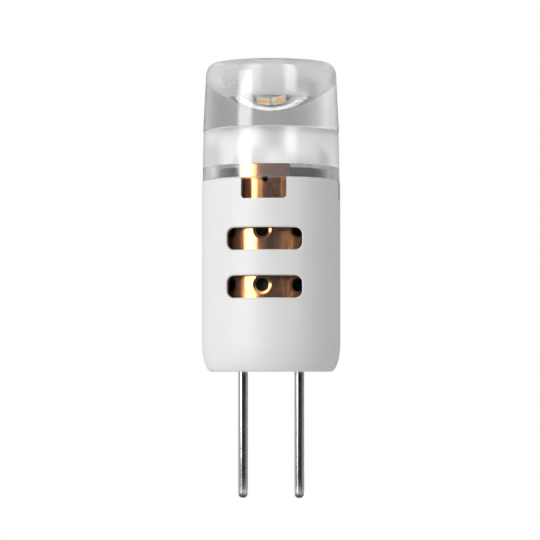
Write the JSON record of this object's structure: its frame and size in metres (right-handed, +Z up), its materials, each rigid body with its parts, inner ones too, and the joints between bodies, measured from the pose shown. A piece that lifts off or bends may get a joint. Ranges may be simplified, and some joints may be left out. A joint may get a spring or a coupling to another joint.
{
  "type": "led capsule bulb",
  "caption": "Low-voltage capsule bulb with round plug-in pins, a vented white housing round a perforated copper heat sink, and a solid clear lens with a bowl in its top.",
  "frame": {"origin": "on the bulb's axis, on the flat under the housing that seats against the lampholder", "axes": "+Z up the axis from the pins to the lens; the pins stand apart along X; the vent slots face -Y and +Y"},
  "size_m": [0.0098, 0.0098, 0.0307],
  "materials": {
    "housing": "satin white moulded polymer",
    "contact_pin": "bright nickel plate",
    "heat_sink_sleeve": "bare copper sheet with a drawn grain",
    "led_board": "dark solder mask on a metal-core board",
    "led_package": "white moulded polymer",
    "led_phosphor": "orange-yellow silicone",
    "lens_collar": "clear moulded acrylic",
    "lens": "clear moulded acrylic",
    "driver_board": "green solder mask on glass-fibre laminate",
    "capacitor": "fired ceramic with tinned ends",
    "inductor_core": "ferrite",
    "inductor_coil": "enamelled copper wire",
    "moulded_component": "black epoxy with tinned leads",
    "resistor": "glazed ceramic with tinned ends",
    "led_lead": "tinned copper wire"
  },
  "bodies": {
    "root": {"housing": "housing", "contact_pin_left": "contact_pin", "contact_pin_right": "contact_pin", "heat_sink_sleeve": "heat_sink_sleeve", "led_board": "led_board", "led_package_left": "led_package", "led_package_right": "led_package", "led_phosphor_left": "led_phosphor", "led_phosphor_right": "led_phosphor", "lens_collar": "lens_collar", "lens": "lens", "driver_board": "driver_board", "output_capacitor": "capacitor", "input_capacitor": "capacitor", "inductor_core": "inductor_core", "inductor_coil": "inductor_coil", "rectifier_diode_1": "moulded_component", "rectifier_diode_2": "moulded_component", "rectifier_diode_3": "moulded_component", "rectifier_diode_4": "moulded_component", "freewheel_diode": "moulded_component", "sense_resistor": "resistor", "driver_chip": "moulded_component", "led_lead_left": "led_lead", "led_lead_right": "led_lead"}
  },
  "joints": []
}
